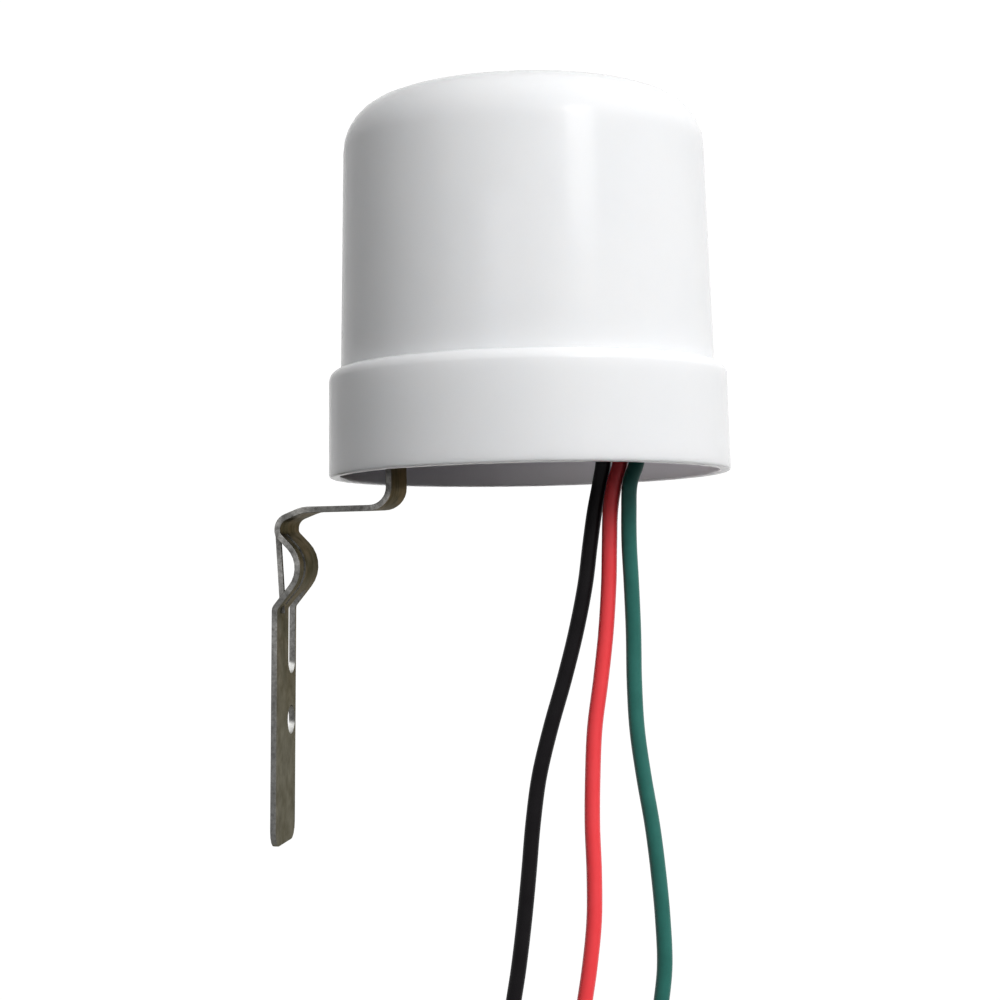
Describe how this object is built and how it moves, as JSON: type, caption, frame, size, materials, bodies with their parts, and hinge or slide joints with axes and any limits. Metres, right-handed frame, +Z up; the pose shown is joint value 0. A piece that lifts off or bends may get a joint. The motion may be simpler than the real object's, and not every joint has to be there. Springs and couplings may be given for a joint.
{
  "type": "photocell switch",
  "caption": "Dusk-to-dawn photocell switch: white domed cap over a base plate and circuit board, on a bent zinc-plated strip bracket, with three loose leads.",
  "frame": {"origin": "the fixing point on the outer flat face of the bracket's leg, on the strip's centre line, above its end", "axes": "+Z up with the domed cap on top and the leads hanging down, +X from the leg towards the cap and its leads, Y across the strip"},
  "size_m": [0.0831, 0.072, 0.2166],
  "materials": {
    "cover": "white gloss moulding, slightly translucent",
    "base_plate": "dark satin moulding",
    "zinc": "zinc plated, dull",
    "steel": "plain steel",
    "board": "green solder mask",
    "black_case": "satin black",
    "yellow_case": "yellow box case",
    "can_sleeve": "dark blue sleeve",
    "varistor_coat": "blue epoxy",
    "resistor_coat": "beige lacquer",
    "sensor_coat": "clear-coated cadmium sulphide face",
    "sleeve": "black tube",
    "lead_black": "black PVC",
    "lead_red": "red PVC",
    "lead_green": "green PVC, print left off",
    "tin": "tinned copper"
  },
  "bodies": {
    "root": {"cover": "cover", "base_plate": "base_plate", "cover_screw_1": "steel", "cover_screw_2": "steel", "bracket": "zinc", "bracket_screw": "steel", "bracket_washer": "steel", "bracket_nut": "steel", "circuit_board": "board", "board_screw_1": "steel", "board_screw_2": "steel", "board_screw_3": "steel", "relay": "black_case", "film_capacitor": "yellow_case", "electrolytic_capacitor": "can_sleeve", "varistor": "varistor_coat", "rectifier_diode_1": "black_case", "rectifier_diode_2": "black_case", "rectifier_diode_3": "black_case", "rectifier_diode_4": "black_case", "resistor_1": "resistor_coat", "resistor_2": "resistor_coat", "transistor": "black_case", "light_sensor": "sensor_coat", "sensor_sleeve": "sleeve", "black_lead": "lead_black", "black_lead_solder": "tin", "black_lead_tip": "tin", "red_lead": "lead_red", "red_lead_solder": "tin", "red_lead_tip": "tin", "green_lead": "lead_green", "green_lead_solder": "tin", "green_lead_tip": "tin"}
  },
  "joints": []
}
